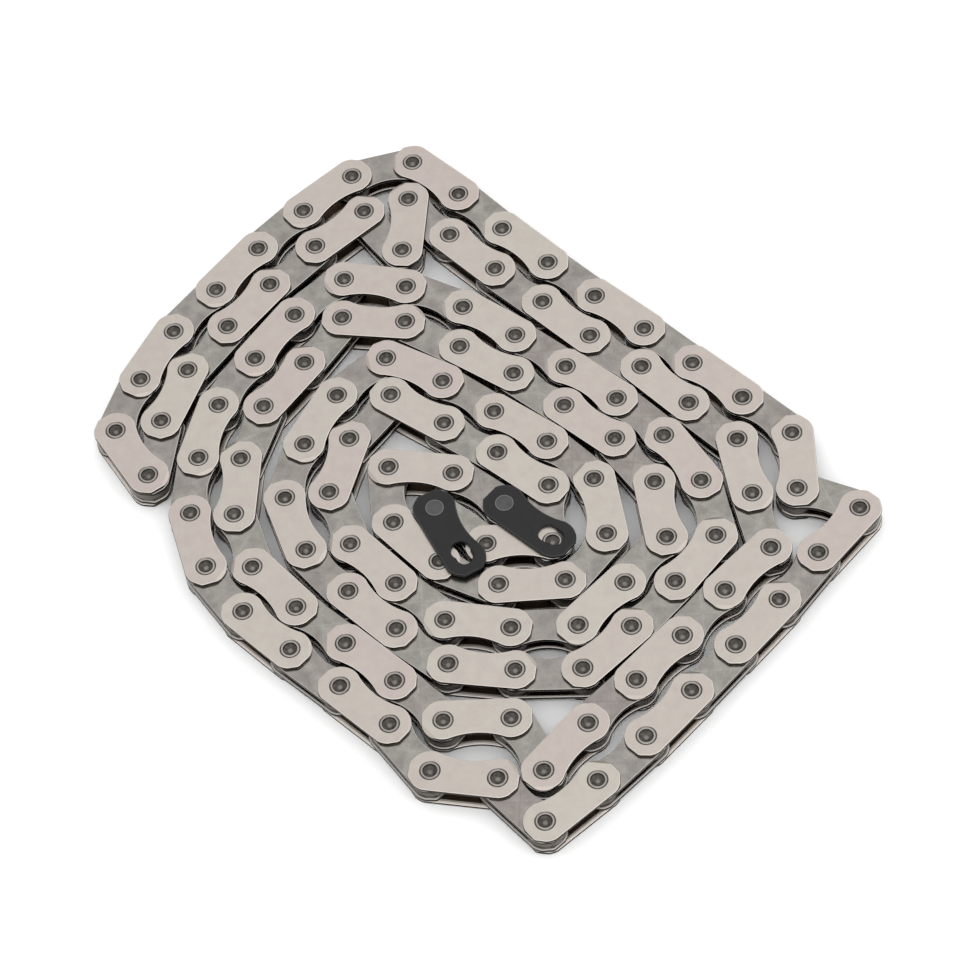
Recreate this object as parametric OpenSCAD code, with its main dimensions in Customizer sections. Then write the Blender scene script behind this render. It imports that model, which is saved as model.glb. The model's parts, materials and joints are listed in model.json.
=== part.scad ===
// Derailleur chain with flat-topped plates, folded in half and laid in a flat coil on its side.
// The pins stand along Z, the coil rests on its lower outer plates at z = 0, and the origin is
// under the middle of the coil. The two halves of the quick link sit in the free ends.

/* [Chain] */
// Distance from pin to pin
pitch = 12.7; // [12.7:0.1:16]
// Width between the two inner plates of a link
inner_width = 2.2; // [2:0.05:3.5]
// Clearance between an inner and an outer plate, and beside a roller
side_gap = 0.05; // [0.03:0.01:0.15]

/* [Plates] */
// Thickness of the outer plates
outer_t = 0.7; // [0.5:0.05:1.2]
// Thickness of the inner plates
inner_t = 0.8; // [0.5:0.05:1.2]
// Radius of the round lobes at the pins
lobe_r = 4.12; // [3.6:0.02:4.12]
// Distance from the pins' line to the flat side
flat_h = 4.2; // [3.6:0.02:4.2]
// Radius of the rounding that leads from the squared end to the flat side
corner_r = 4.28; // [3.8:0.02:4.28]
// Distance from a pin's centre to the short straight cut across that rounding
corner_d = 4.17; // [3.7:0.01:4.2]
// Direction of the straight cut, from the squared end towards the flat side
corner_angle = 40; // [30:1:50]
// Distance from a pin's centre to the squared end of its plate
plate_end = 4; // [3.5:0.05:4]
// Distance from the far pin's centre to the sloping facet on the outside of its lobe
facet_d = 3.45; // [3.4:0.05:4]
// Width of the sloping facet
facet_w = 0.7; // [0.3:0.05:0.8]
// Depth that the sloping facet reaches over its width
facet_depth = 0.4; // [0.2:0.05:0.5]
// Direction of the sloping facet, from the squared end towards the waist
facet_angle = 42; // [35:1:50]
// How far inside the lobes the waist's curve meets them
waist_meet = 0.05; // [0.02:0.01:0.1]
// Half height of the outer plates at their waist
outer_waist = 2.95; // [2.3:0.05:3.3]
// Half height of the inner plates at their waist
inner_waist = 2.6; // [2.3:0.05:3.3]
// Width of the bevel round a plate's edge
edge_bevel = 0.2; // [0.05:0.05:0.3]

/* [Pins and rollers] */
// Radius of the pins
pin_r = 1.82; // [1.6:0.02:2]
// Radius of the recess in a pin's end
recess_r = 1.38; // [1:0.02:1.5]
// Depth of the recess at its wall
recess_depth = 0.4; // [0.2:0.05:0.8]
// Radius of the recess's flat floor
recess_floor_r = 0.6; // [0.3:0.05:0.9]
// Extra depth of the flat floor below the recess's wall
recess_sink = 0.35; // [0.1:0.05:0.5]
// Radius of the ring that the riveting punch leaves in a pin's end
punch_r = 1.76; // [1.6:0.02:1.8]
// Depth and half width of that ring
punch_depth = 0.06; // [0.03:0.01:0.1]
// Air between a pin and the outer plate that it is riveted into
rivet_gap = 0.01; // [0.005:0.005:0.03]
// Width of the countersink that the end of a riveted pin is spread into
rivet_sink = 0.2; // [0.1:0.02:0.34]
// Clearance between a pin and the inner plates that turn on it
pin_gap = 0.04; // [0.02:0.01:0.1]
// Radius of the collars that carry the rollers
collar_r = 2.62; // [2.4:0.02:2.8]
// Height of a collar above the inner face of its plate
collar_h = 1; // [0.5:0.05:1]
// Clearance between a roller and the collars that it turns on
roller_gap = 0.05; // [0.02:0.01:0.1]
// Radius of the rollers
roller_r = 3.82; // [3.5:0.02:3.95]
// Bevel at the rims of a roller
roller_bevel = 0.2; // [0.1:0.05:0.4]

/* [Quick link] */
// Thickness of the quick link's plates
quick_t = 0.75; // [0.6:0.05:1]
// Gap under a quick link's plate, which lies on the outer plates below it
rest_gap = 0.05; // [0.03:0.01:0.1]
// Length of the quick link's pins below their plate
quick_pin_l = 4.7; // [4.5:0.05:4.9]
// Bevel at the rims of the quick link's pins
pin_bevel = 0.1; // [0.05:0.01:0.2]
// Radius at the bottom of the locking groove near a pin's tip
groove_r = 1.45; // [1.2:0.05:1.55]
// Thickness of the pin's head beyond the groove
pin_head_t = 0.35; // [0.25:0.05:0.5]
// Distance from a pin's centre to the squared end of a quick link's plate
quick_end = 3.75; // [3.5:0.05:4]
// How far the plate's entry hole lies inside its seat
entry_back = 1.75; // [1.5:0.05:2.5]
// Clearance of the entry hole round the pin's head
entry_gap = 0.1; // [0.05:0.05:0.2]
// Clearance of the seat round the locking groove
seat_gap = 0.08; // [0.04:0.02:0.12]
// Depth of the sunk slot that takes the pin's head round the seat
seat_sink = 0.3; // [0.15:0.05:0.4]
// Direction of quick link half a in the lay, from its pin to its seat
quick_a_heading = -42; // [-60:1:-40]
// Direction of quick link half b in the lay, from its pin to its seat
quick_b_heading = -64; // [-80:1:-60]

/* [Hidden] */
$fn = 64;

plate_colour = [0.80, 0.77, 0.74];
inner_colour = [0.65, 0.64, 0.63];
pin_colour = [0.55, 0.53, 0.50];
roller_colour = [0.45, 0.44, 0.43];
quick_colour = [0.16, 0.16, 0.17];

// How far a cutting tool reaches past what it cuts
past = 1;
// Segments of the full circle that a waist's long arc is a part of
waist_segments = 128;

// The lay of the coil. Each number is the heading of one link in whole degrees from +X, as the
// photograph shows it and eased where neighbouring strands would touch. Strand a runs from the fold
// at the left corner to free end a, and strand b from the fold to free end b, with one row for each
// side of the coil that they pass.
strand_a = [
    123, 70, 61, 50, 50, 45, 40, 13,
    -42, -46, -44, -43, -41, -43, -42, -43, -88, -23,
    -131, -128, -132, -132, -133, -136, -140,
    133, 171, 127, 138, 139, 137, 126, 106,
    85, 74, 57, 53, 40,
    -11, -26, -35, -39, -39, -45, -57, -79,
    -129, -132, -137, 179, 172,
    141, 137, 131, 110, 74, 61, 41,
    -28, -37, -36, -45, -80, -129,
    -178, 154, 134, 95, -9, -38
];
strand_b = [
    81, 68, 53, 50, 45, 40,
    -52, 85, -48, -44, -42, -43, -38, -45, -44, -79, -76,
    -135, -131, -134, -136, -131, 118, -180,
    136, 138, 139, 133, 108, 86, 71, 52, 55,
    -7, -31, -33, -39, -40, -54, -81,
    -130, -135, -180, 170, 138, 134, 110, 73, 51,
    -34, -35, -39, -87, -180, 141
];

// Walks along a strand from a point, one pitch for each heading
function walk(start, headings) = [
    for (i = 0, p = start; i <= len(headings);
        p = i < len(headings) ? p + pitch * [cos(headings[i]), sin(headings[i])] : p, i = i + 1) p
];
function middle(values) = (min(values) + max(values)) / 2;

walk_a = walk([0, 0], strand_a);
walk_b = walk([0, 0], strand_b);
// Every pin place in order, from free end a through the fold to free end b
laid = concat(
    [for (i = [len(walk_a) - 1 : -1 : 0]) walk_a[i]],
    [for (i = [1 : len(walk_b) - 1]) walk_b[i]]
);
coil_middle = [middle([for (p = laid) p[0]]), middle([for (p = laid) p[1]])];
places = [for (p = laid) p - coil_middle];
fold_place = len(strand_a);
last_link = len(places) - 2;

// The heading of link i, which joins place i and place i + 1
function heading(i) = i < fold_place
    ? strand_a[fold_place - 1 - i] + 180
    : strand_b[i - fold_place];

// Links of the folded end in each strand, and links in each strand that swing beside it
fold_links_a = 4;
fold_links_b = 3;
swing_links = 3;
fold_first = fold_place - fold_links_a;
fold_last = fold_place + fold_links_b - 1;
first_swing_a = fold_first - swing_links;
last_swing_b = fold_last + swing_links;

// Links at which strand a passes into the coil's outer turns, and strand b into its inner turns
outer_turns_a = 30;
inner_turns_b = 100;
// First and last link of each section
section_a1 = [outer_turns_a, first_swing_a - 1];
section_a2 = [0, outer_turns_a - 1];
section_b1 = [last_swing_b + 1, inner_turns_b - 1];
section_b2 = [inner_turns_b, last_link];
section_fold = [fold_first, fold_last];

function inner_links(section) = [for (i = [section[0] : section[1]]) if (i % 2 == 0) i];
function outer_links(section) = [for (i = [section[0] : section[1]]) if (i % 2 == 1) i];
// The links at the free ends have rollers of their own
function roller_links(section) = [for (i = inner_links(section)) if (i > 0 && i < last_link) i];

// Heights of the parts of a link above the floor
inner_z = outer_t + side_gap;
roller_z = inner_z + inner_t + side_gap;
roller_w = inner_width - 2 * side_gap;
stack_h = 2 * (outer_t + side_gap + inner_t) + inner_width;
quick_z = stack_h + rest_gap;

// A lobe's radius where it runs into the waist, which leaves a faint corner there
blend_r = lobe_r - waist_meet;
// Radius of the waist's arc and height of its centre above the pins' line
function waist_r(waist) = (pitch * pitch / 4 + waist * waist - blend_r * blend_r) / (2 * (blend_r - waist));
function waist_centre(waist) = waist + waist_r(waist);
// Height at which the lobes run into the waist
function blend_h(waist) = blend_r * waist_centre(waist) / norm([pitch / 2, waist_centre(waist)]);

// Cuts away what lies further out than a distance in one direction, with a slope at z = 0
module slope_cut(distance, direction, length, t, width, depth) {
    rotate(direction) rotate([90, 0, 0]) linear_extrude(length, center = true)
        polygon([
            [distance - width * (1 + past / depth), -past], [distance, depth], [distance, t + past],
            [distance + corner_r, t + past], [distance + corner_r, -past]
        ]);
}

// The same cut with a bevel of 45 degrees
module edge_cut(distance, direction, length, t, bevel) {
    slope_cut(distance, direction, length, t, bevel, bevel);
}

// A disc at each pin, with a bevel at z = 0
module discs(r, t, bevel) {
    for (x = [0, pitch]) translate([x, 0, 0]) rotate_extrude()
        polygon([[0, 0], [r - bevel, 0], [r, bevel], [r, t], [0, t]]);
}

// A plate blank with its pins at x = 0 and x = pitch, its waist towards +Y, its flat side
// towards -Y and its bevelled face at z = 0
module plate_blank(waist, end, t, bevel) {
    arc_r = waist_r(waist);
    difference() {
        union() {
            discs(lobe_r, t, bevel);
            intersection() {
                discs(corner_r, t, bevel);
                translate([-2 * corner_r, -2 * corner_r, -past])
                    cube([pitch + 4 * corner_r, 2 * corner_r, t + 2 * past]);
            }
            translate([0, -corner_r, 0]) cube([pitch, corner_r + blend_h(waist), t]);
        }
        edge_cut(flat_h, -90, 2 * pitch + 4 * corner_r, t, bevel);
        edge_cut(end, 180, 4 * corner_r, t, bevel);
        edge_cut(corner_d, 180 + corner_angle, 3 * corner_r, t, bevel);
        translate([pitch, 0, 0]) edge_cut(end, 0, 4 * corner_r, t, bevel);
        translate([pitch, 0, 0]) edge_cut(corner_d, -corner_angle, 3 * corner_r, t, bevel);
        translate([pitch / 2, waist_centre(waist), 0]) rotate_extrude($fn = waist_segments)
            polygon([
                [0, -past], [arc_r + bevel + past, -past], [arc_r, bevel],
                [arc_r, t + past], [0, t + past]
            ]);
    }
}

// The sloping facet that is cut from the outside of the lobe at the far pin
module lobe_facet(t) {
    translate([pitch, 0, 0])
        slope_cut(facet_d + facet_w, facet_angle, 3 * lobe_r, t, facet_w, facet_depth);
}

// A through hole with a countersink at z = 0
module sunk_hole(r, sink, depth) {
    rotate_extrude()
        polygon([[0, -past], [r + sink + past, -past], [r, sink], [r, depth + past], [0, depth + past]]);
}

// An outer plate, with its outside at z = 0
module outer_plate() {
    difference() {
        plate_blank(outer_waist, plate_end, outer_t, edge_bevel);
        lobe_facet(outer_t);
        for (x = [0, pitch]) translate([x, 0, 0]) sunk_hole(pin_r + rivet_gap, rivet_sink, outer_t);
    }
}

// An inner plate, with its outside at z = 0 and the rollers' collars drawn up from its inside
module inner_plate() {
    difference() {
        union() {
            translate([0, 0, inner_t]) mirror([0, 0, 1])
                plate_blank(inner_waist, plate_end, inner_t, edge_bevel);
            for (x = [0, pitch]) translate([x, 0, inner_t / 2]) cylinder(r = collar_r, h = inner_t / 2 + collar_h);
        }
        for (x = [0, pitch]) translate([x, 0, 0])
            sunk_hole(pin_r + pin_gap, edge_bevel, inner_t + collar_h);
    }
}

// One end of a pin from its middle outwards: radius, and distance from the pin's end
pin_end = [
    [0, recess_depth + recess_sink], [recess_floor_r, recess_depth + recess_sink],
    [recess_r, recess_depth], [recess_r, 0], [punch_r - punch_depth, 0], [punch_r, punch_depth],
    [punch_r + punch_depth, 0], [pin_r + rivet_sink, 0], [pin_r, rivet_sink]
];

// A pin, recessed at both ends and spread flush into the countersinks of its plates
module pin() {
    rotate_extrude() polygon(concat(
        pin_end,
        [for (i = [len(pin_end) - 1 : -1 : 0]) [pin_end[i][0], stack_h - pin_end[i][1]]]
    ));
}

// A roller on the floor of its own frame
module roller() {
    bore_r = collar_r + roller_gap;
    rotate_extrude()
        polygon([
            [bore_r, 0], [roller_r - roller_bevel, 0], [roller_r, roller_bevel],
            [roller_r, roller_w - roller_bevel], [roller_r - roller_bevel, roller_w],
            [bore_r, roller_w]
        ]);
}

// Puts what is drawn along +X on link i
module on_link(i) {
    translate(places[i]) rotate(heading(i)) children();
}

// Turns a lower plate into the upper plate of the same link
module upper_side() {
    translate([0, 0, stack_h]) mirror([0, 0, 1]) children();
}

module outer_plates_bottom(links) {
    color(plate_colour) for (i = links) on_link(i) outer_plate();
}

module outer_plates_top(links) {
    color(plate_colour) for (i = links) on_link(i) upper_side() outer_plate();
}

module inner_plates_bottom(links) {
    color(inner_colour) for (i = links) on_link(i) translate([0, 0, inner_z]) inner_plate();
}

module inner_plates_top(links) {
    color(inner_colour) for (i = links) on_link(i) upper_side() translate([0, 0, inner_z]) inner_plate();
}

// Both pins of each outer link
module pins(links) {
    color(pin_colour) for (i = links) for (k = [i, i + 1]) translate(places[k]) pin();
}

module roller_at(k) {
    color(roller_colour) translate(places[k]) translate([0, 0, roller_z]) roller();
}

// Both rollers of each inner link
module rollers(links) {
    for (i = links) for (k = [i, i + 1]) roller_at(k);
}

module outer_link_plates(i) {
    outer_plates_bottom([i]);
    outer_plates_top([i]);
}

module inner_link_plates(i) {
    inner_plates_bottom([i]);
    inner_plates_top([i]);
}

// Cuts from the middle of the keyhole's seat to its entry, down to a depth
module seat_slot(r, depth) {
    translate([0, 0, -past]) cylinder(r = r, h = depth + past);
    translate([-entry_back, -r, -past]) cube([entry_back, 2 * r, depth + past]);
}

// The keyhole of a quick link's plate, centred on its seat, with its sunk slot at z = 0
module keyhole() {
    entry_r = pin_r + entry_gap;
    translate([-entry_back, 0, -past]) cylinder(r = entry_r, h = quick_t + 2 * past);
    seat_slot(groove_r + seat_gap, quick_t + past);
    seat_slot(entry_r, seat_sink);
}

// The plate of a quick link half, with its pin hole at the origin
module quick_plate() {
    color(quick_colour) difference() {
        translate([0, 0, quick_t]) mirror([0, 0, 1]) difference() {
            plate_blank(outer_waist, quick_end, quick_t, edge_bevel);
            lobe_facet(quick_t);
            translate([pitch, 0, 0]) keyhole();
        }
        translate([0, 0, -past]) cylinder(r = pin_r + rivet_gap, h = quick_t + 2 * past);
    }
}

// The pin of a quick link half, riveted flush with its plate and grooved near its tip
module quick_pin() {
    tip = -quick_pin_l;
    groove_top = tip + pin_head_t + quick_t + seat_gap;
    color(quick_colour) rotate_extrude()
        polygon([
            [0, tip], [pin_r - pin_bevel, tip], [pin_r, tip + pin_bevel],
            [pin_r, tip + pin_head_t], [groove_r, tip + pin_head_t], [groove_r, groove_top],
            [pin_r, groove_top], [pin_r, quick_t - pin_bevel], [pin_r - pin_bevel, quick_t],
            [0, quick_t]
        ]);
}

module on_free_end(k, direction) {
    translate(places[k]) translate([0, 0, quick_z]) rotate(direction) children();
}

outer_plates_top(outer_links(section_a1));  // outer_plates_top_a1
outer_plates_bottom(outer_links(section_a1));  // outer_plates_bottom_a1
inner_plates_top(inner_links(section_a1));  // inner_plates_top_a1
inner_plates_bottom(inner_links(section_a1));  // inner_plates_bottom_a1
pins(outer_links(section_a1));  // pins_a1
rollers(roller_links(section_a1));  // rollers_a1
outer_plates_top(outer_links(section_a2));  // outer_plates_top_a2
outer_plates_bottom(outer_links(section_a2));  // outer_plates_bottom_a2
inner_plates_top(inner_links(section_a2));  // inner_plates_top_a2
inner_plates_bottom(inner_links(section_a2));  // inner_plates_bottom_a2
pins(outer_links(section_a2));  // pins_a2
rollers(roller_links(section_a2));  // rollers_a2
outer_plates_top(outer_links(section_b1));  // outer_plates_top_b1
outer_plates_bottom(outer_links(section_b1));  // outer_plates_bottom_b1
inner_plates_top(inner_links(section_b1));  // inner_plates_top_b1
inner_plates_bottom(inner_links(section_b1));  // inner_plates_bottom_b1
pins(outer_links(section_b1));  // pins_b1
rollers(roller_links(section_b1));  // rollers_b1
outer_plates_top(outer_links(section_b2));  // outer_plates_top_b2
outer_plates_bottom(outer_links(section_b2));  // outer_plates_bottom_b2
inner_plates_top(inner_links(section_b2));  // inner_plates_top_b2
inner_plates_bottom(inner_links(section_b2));  // inner_plates_bottom_b2
pins(outer_links(section_b2));  // pins_b2
rollers(roller_links(section_b2));  // rollers_b2
outer_link_plates(first_swing_a);  // swing_link_a1_plates
pins([first_swing_a]);  // swing_link_a1_pins
inner_link_plates(first_swing_a + 1);  // swing_link_a2_plates
roller_at(first_swing_a + 1);  // swing_link_a2_roller_near
roller_at(first_swing_a + 2);  // swing_link_a2_roller_far
outer_link_plates(first_swing_a + 2);  // swing_link_a3_plates
pins([first_swing_a + 2]);  // swing_link_a3_pins
outer_link_plates(last_swing_b);  // swing_link_b1_plates
pins([last_swing_b]);  // swing_link_b1_pins
inner_link_plates(last_swing_b - 1);  // swing_link_b2_plates
roller_at(last_swing_b);  // swing_link_b2_roller_near
roller_at(last_swing_b - 1);  // swing_link_b2_roller_far
outer_link_plates(last_swing_b - 2);  // swing_link_b3_plates
pins([last_swing_b - 2]);  // swing_link_b3_pins
outer_plates_top(outer_links(section_fold));  // fold_outer_plates_top
outer_plates_bottom(outer_links(section_fold));  // fold_outer_plates_bottom
inner_plates_top(inner_links(section_fold));  // fold_inner_plates_top
inner_plates_bottom(inner_links(section_fold));  // fold_inner_plates_bottom
pins(outer_links(section_fold));  // fold_pins
roller_at(fold_first);  // fold_roller_1
roller_at(fold_first + 1);  // fold_roller_2
roller_at(fold_first + 2);  // fold_roller_3
roller_at(fold_first + 3);  // fold_roller_4
roller_at(fold_first + 4);  // fold_roller_5
roller_at(fold_first + 5);  // fold_roller_6
roller_at(fold_first + 6);  // fold_roller_7
roller_at(fold_first + 7);  // fold_roller_8
roller_at(0);  // end_roller_a_free
roller_at(1);  // end_roller_a_pinned
roller_at(last_link);  // end_roller_b_pinned
roller_at(last_link + 1);  // end_roller_b_free
on_free_end(0, quick_a_heading) quick_plate();  // quick_link_a_plate
on_free_end(0, quick_a_heading) quick_pin();  // quick_link_a_pin
on_free_end(last_link + 1, quick_b_heading) quick_plate();  // quick_link_b_plate
on_free_end(last_link + 1, quick_b_heading) quick_pin();  // quick_link_b_pin
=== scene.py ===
import json
import math
import random

import bmesh
import bpy
from bpy.props import FloatProperty, FloatVectorProperty, IntProperty, PointerProperty
from mathutils import Matrix, Vector


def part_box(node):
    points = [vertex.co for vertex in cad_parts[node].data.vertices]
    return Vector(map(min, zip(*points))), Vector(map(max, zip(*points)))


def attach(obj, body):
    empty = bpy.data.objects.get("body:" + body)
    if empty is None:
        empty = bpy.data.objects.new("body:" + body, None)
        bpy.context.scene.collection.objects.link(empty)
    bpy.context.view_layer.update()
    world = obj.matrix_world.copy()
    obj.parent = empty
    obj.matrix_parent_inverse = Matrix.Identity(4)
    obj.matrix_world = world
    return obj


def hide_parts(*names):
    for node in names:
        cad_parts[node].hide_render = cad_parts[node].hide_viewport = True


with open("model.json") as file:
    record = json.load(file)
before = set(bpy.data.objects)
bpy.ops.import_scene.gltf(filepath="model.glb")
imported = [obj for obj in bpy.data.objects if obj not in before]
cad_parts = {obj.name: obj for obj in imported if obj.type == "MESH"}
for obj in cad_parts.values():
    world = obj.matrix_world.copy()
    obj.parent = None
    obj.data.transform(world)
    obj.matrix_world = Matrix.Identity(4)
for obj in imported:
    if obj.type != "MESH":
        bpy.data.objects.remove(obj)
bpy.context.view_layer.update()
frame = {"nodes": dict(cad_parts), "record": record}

bl_info = {
    "name": "Coiled Bicycle Chain",
    "version": (1, 0, 0),
    "blender": (4, 5, 0),
    "location": "3D View > Sidebar > Chain",
    "description": "Dresses the plates, pins, rollers and quick link of a chain laid in a flat coil",
    "category": "Object",
}

MM = 0.001
WELD = 0.000002
SLOTS = {part["node"]: part["material_slot"] for part in frame["record"]["subparts"]}
BODIES = {
    node: body
    for body, nodes in frame["record"]["behaviour"]["bodies"].items()
    for node in nodes
}
ROLLER_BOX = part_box("fold_roller_1")
QUICK_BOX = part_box("quick_link_a_plate")
STACK_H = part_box("fold_pins")[1].z
LOBE_STEPS = 9
WAIST_STEPS = 6
CORNER_STEPS = 3
BORE_SEGMENTS = 24
PIN_SEGMENTS = 24
ROLLER_SEGMENTS = 32
FLOOR_SEGMENTS = 64
RIM_STEPS = 2
SHARP = math.radians(40)
# A plate has a bore at a pin where more of its corner points than this lie near that pin.
BORE_POINTS = 8
# Half the length of a plate's waist as a share of the pitch.
WAIST_SHARE = 0.2
# A face whose normal's height is below this looks down.
LOOKS_DOWN = -0.99
# How far round a hole its rounded rim reaches, in widths of that rim.
HOLE_REACH = 1.5
# Width of the rubbed ring on a quick link pin's head, in widths of its bevel.
QUICK_RING = 5
# How strongly the painted lit strip inside a plate's edge shows, from the edge inwards: light painted where
# light past the facing plate's edge falls.
LIT_STRIP_STEPS = (1.0, 0.5)
# How much of the walls' painted shade a bore's countersink takes, where its wall takes 1: a dark ring
# painted round each pin.
SINK_SHADE = 0.3
# Millimetres between the places where the tones 0 and 1 read the same noise.
TONE_STEP = (370.0, 910.0, 130.0)
# Millimetres from the pins' line to the middle of an inner plate, towards its flat side.
CREASE_ASIDE = 0.4
# Half the millimetres over which the painted shade passes from one field of an inner plate to the next.
CREASE_FIELD = 1.3
# Half width of a crease in millimetres.
CREASE_WIDTH = 0.36
# Painted shade of an inner plate's stamped fields, as light would fall on them: beside the waist and the
# flat side, and at the ends.
FACET_SHADE_LEVELS = (0.92, 1.06)
# Most that a crease differs from its fields: a painted highlight on plates of high tone, painted shade on
# plates of low tone.
CREASE_SHADE = 0.12
WHITE = (1.0, 1.0, 1.0)
# Scale, detail and roughness of the smudges and the specks of bare metal.
SMUDGE = (0.45, 5.0, 0.6)
SPECK = (2.2, 3.0, 0.6)
# The same for the clouds on pins, the clouds on the coating and the coating's grain.
PIN_CLOUD = (1.6, 3.0)
COAT_CLOUD = (0.5, 5.0)
COAT_GRAIN = (5.0, 2.0)
# The part of a noise's range that is spread over the whole scale.
NOISE_SPAN = (0.3, 0.7)
RECESS_SPAN = (0.35, 0.65)
# Depth in millimetres and strength of the uneven surface of metal, pins and coating.
METAL_RELIEF = (0.02, 0.15)
PIN_RELIEF = (0.04, 0.4)
COAT_RELIEF = (0.02, 0.3)
# Warmth of the dull and of the bright patches of metal.
PATCH_WARMTH = (0.012, -0.006)
# Most that a plate differs from the mean in lightness and in warmth.
PLATE_LEVEL = 0.02
PLATE_WARMTH = 0.014
# Half the range of the metal's roughness.
ROUGH_SPREAD = 0.05
# Least and most lightness of patches in a recess, patches on a ring, whole pins and patches of coating.
RECESS_LEVELS = (0.5, 1.7)
RING_LEVELS = (0.94, 1.06)
PIN_LEVELS = (0.88, 1.06)
COAT_LEVELS = (0.85, 1.2)
# A pin's roughness: what its shade adds, and what it is on the bright ring.
PIN_ROUGH = (0.2, 0.32)
COAT_ROUGH = (0.38, 0.5)
COAT_SHEEN = 0.35
# Where the middle of the photograph's view meets the plates' height.
AIM = (-0.43 * MM, -1.70 * MM, STACK_H)
FLOOR_R = 6.0
FLOOR_GAP = 0.05 * MM
FLOOR_WHITE = 0.87
# The surround that metal mirrors: how its light rises along each axis, and its level at the middle.
SKY_SLANT = (0.25, -0.10, 0.20)
SKY_LEVEL = 0.89
# Share of that light near the floor, and the heights of view between which it rises to the whole.
SKY_LOW = 0.5
SKY_HAZE = (-0.05, 0.37)
SOFTBOX_SIZE = (0.9, 0.5)
SOFTBOX_PLACE = (0.0, -1.05, 0.68)


def length(name, description, millimetres):
    """A size in metres whose default is given in millimetres."""
    return FloatProperty(
        name=name, description=description, default=millimetres * MM, min=0.0,
        unit="LENGTH", subtype="DISTANCE", precision=5,
    )


def angle(name, description, degrees):
    """An angle whose default is given in degrees."""
    return FloatProperty(
        name=name, description=description, default=math.radians(degrees), subtype="ANGLE",
    )


def colour(name, description, red, green, blue):
    """A colour with its default."""
    return FloatVectorProperty(
        name=name, description=description, default=(red, green, blue),
        min=0.0, max=1.0, size=3, subtype="COLOR",
    )


class ChainSizes(bpy.types.PropertyGroup):
    """Sizes of the plates, pins and rollers"""
    pitch: length("Pitch", "Distance from pin to pin", 12.7)
    side_gap: length("Side gap", "Clearance between an inner and an outer plate", 0.05)
    outer_t: length("Outer plate", "Thickness of the outer plates", 0.7)
    inner_t: length("Inner plate", "Thickness of the inner plates", 0.8)
    lobe_r: length("Lobe radius", "Radius of a plate's round lobes at its pins", 4.12)
    waist_meet: length("Waist step", "How far inside the lobes the waist's curve meets them", 0.05)
    flat_h: length("Flat side", "Distance from the pins' line to the flat side", 4.2)
    corner_r: length("Corner radius", "Radius of the rounding from the squared end to the flat side", 4.28)
    corner_d: length("Corner cut", "Distance from a pin's centre to the cut across that rounding", 4.17)
    corner_turn: angle("Corner direction", "From the squared end to the cut, towards the flat side", 40)
    plate_end: length("Plate end", "Distance from a pin's centre to the squared end", 4.0)
    facet_d: length("Facet", "Distance from a pin's centre to the sloping facet on a lobe", 3.45)
    facet_w: length("Facet width", "Width of the facet where its slope ends", 0.7)
    facet_depth: length("Facet depth", "Depth of the facet where its slope ends", 0.4)
    facet_turn: angle("Facet direction", "From the squared end to the facet, towards the waist", 42)
    outer_waist: length("Outer waist", "Half height of the outer plates at their waist", 2.95)
    inner_waist: length("Inner waist", "Half height of the inner plates at their waist", 2.6)
    rim: length("Rim", "Width of the rounded rim of a plate", 0.2)
    # Widths of the painted lit strips: light painted on the inside faces along their edges, where light past
    # the facing plate's edge falls; these strips are not oil-free bands.
    outer_lit_strip: length("Outer clean strip", "Width of the oil-free strip inside an outer plate's edge", 0.7)
    inner_lit_strip: length("Inner clean strip", "Width of the oil-free strip inside an inner plate's edge", 0.3)
    pin_r: length("Pin radius", "Radius of the pins", 1.82)
    pin_rim: length("Pin rim", "Bevel at the rims of the pins", 0.04)
    rivet_gap: length("Rivet gap", "Air between a pin and its outer plate", 0.01)
    rivet_sink: length("Rivet sink", "Width of the countersink that a pin's end fills", 0.2)
    punch_r: length("Punch ring", "Radius of the ring that the riveting punch leaves", 1.76)
    punch_depth: length("Punch depth", "Depth and half width of the punch ring", 0.06)
    recess_r: length("Recess radius", "Radius of the recess in a pin's end", 1.38)
    recess_wall: length("Recess wall", "Depth of the recess at its wall", 0.4)
    recess_floor_r: length("Recess floor", "Radius of the recess's flat floor", 0.6)
    recess_depth: length("Recess depth", "Depth of the recess at its floor", 0.75)
    pin_gap: length("Pin gap", "Clearance between a pin and the inner plates", 0.04)
    collar_r: length("Collar radius", "Radius of the collars that carry the rollers", 2.62)
    collar_h: length("Collar height", "Height of a collar above its plate", 1.0)
    roller_gap: length("Roller gap", "Clearance between a roller and its collars", 0.05)
    roller_rim: length("Roller rim", "Bevel at the rims of a roller", 0.2)


class QuickLinkSizes(bpy.types.PropertyGroup):
    """Sizes of the quick link, where they differ from the chain's"""
    pin_l: length("Pin length", "Length of a quick link pin below its plate", 4.7)
    groove_r: length("Groove radius", "Radius at the bottom of the locking groove", 1.45)
    head_t: length("Pin head", "Thickness of the pin's head beyond the groove", 0.35)
    plate_end: length("Plate end", "Distance from a pin's centre to the squared end", 3.75)
    entry_back: length("Entry", "How far the plate's entry hole lies inside its seat", 1.75)
    entry_gap: length("Entry gap", "Clearance of the entry hole round the pin's head", 0.1)
    seat_gap: length("Seat gap", "Clearance of the seat round the groove", 0.08)
    seat_sink: length("Seat sink", "Depth of the sunk slot round the seat", 0.3)


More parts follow.
